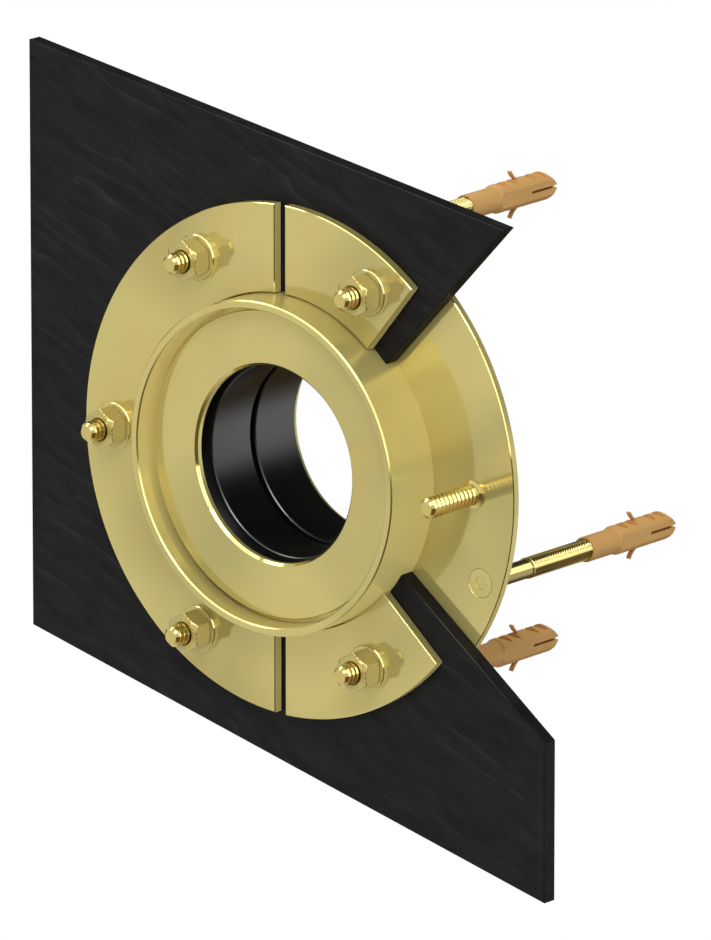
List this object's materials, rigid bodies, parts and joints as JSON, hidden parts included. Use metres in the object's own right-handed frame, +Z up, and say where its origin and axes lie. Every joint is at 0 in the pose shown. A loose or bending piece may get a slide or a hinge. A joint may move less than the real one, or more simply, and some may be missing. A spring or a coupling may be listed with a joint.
{
  "type": "annular gap seal",
  "caption": "Wall sleeve with rubber rings round a pipe bore and a loose and fixed flange pair that clamps a sealing sheet, cut open at one side, with wall screws and plugs.",
  "frame": {"origin": "on the pipe's axis, in the front face of the fixed flange", "axes": "+Y along the pipe's axis into the wall, +Z up, +X to the right seen from the front"},
  "size_m": [0.3137, 0.1696, 0.3604],
  "materials": {
    "plated_steel": "yellow passivated zinc, nearly a mirror",
    "plated_fastener": "yellow passivated zinc, glossy",
    "seal_rubber": "satin black rubber",
    "sheet_bitumen": "matt black membrane with faint creases",
    "plug_plastic": "tan nylon, satin"
  },
  "bodies": {
    "root": {"wall_tube": "plated_steel", "fixed_flange": "plated_steel", "stop_ring": "plated_steel", "front_cover_disc": "plated_steel", "rear_plate": "plated_steel", "loose_flange_left": "plated_steel", "loose_flange_upper_right": "plated_steel", "loose_flange_lower_right": "plated_steel", "seal_ring_front": "seal_rubber", "seal_ring_rear": "seal_rubber", "membrane": "sheet_bitumen", "stud_1": "plated_fastener", "stud_2": "plated_fastener", "stud_3": "plated_fastener", "stud_4": "plated_fastener", "stud_5": "plated_fastener", "stud_6": "plated_fastener", "washer_1": "plated_fastener", "nut_1": "plated_fastener", "washer_2": "plated_fastener", "nut_2": "plated_fastener", "washer_3": "plated_fastener", "nut_3": "plated_fastener", "washer_4": "plated_fastener", "nut_4": "plated_fastener", "washer_5": "plated_fastener", "nut_5": "plated_fastener", "clamp_stud_1": "plated_fastener", "clamp_washer_1": "plated_fastener", "clamp_nut_1": "plated_fastener", "clamp_stud_2": "plated_fastener", "clamp_washer_2": "plated_fastener", "clamp_nut_2": "plated_fastener", "clamp_stud_3": "plated_fastener", "clamp_washer_3": "plated_fastener", "clamp_nut_3": "plated_fastener", "clamp_stud_4": "plated_fastener", "clamp_washer_4": "plated_fastener", "clamp_nut_4": "plated_fastener", "wall_screw_1": "plated_fastener", "wall_plug_1": "plug_plastic", "wall_screw_2": "plated_fastener", "wall_plug_2": "plug_plastic", "wall_screw_3": "plated_fastener", "wall_plug_3": "plug_plastic", "wall_screw_4": "plated_fastener", "wall_plug_4": "plug_plastic", "wall_screw_5": "plated_fastener", "wall_plug_5": "plug_plastic"}
  },
  "joints": []
}
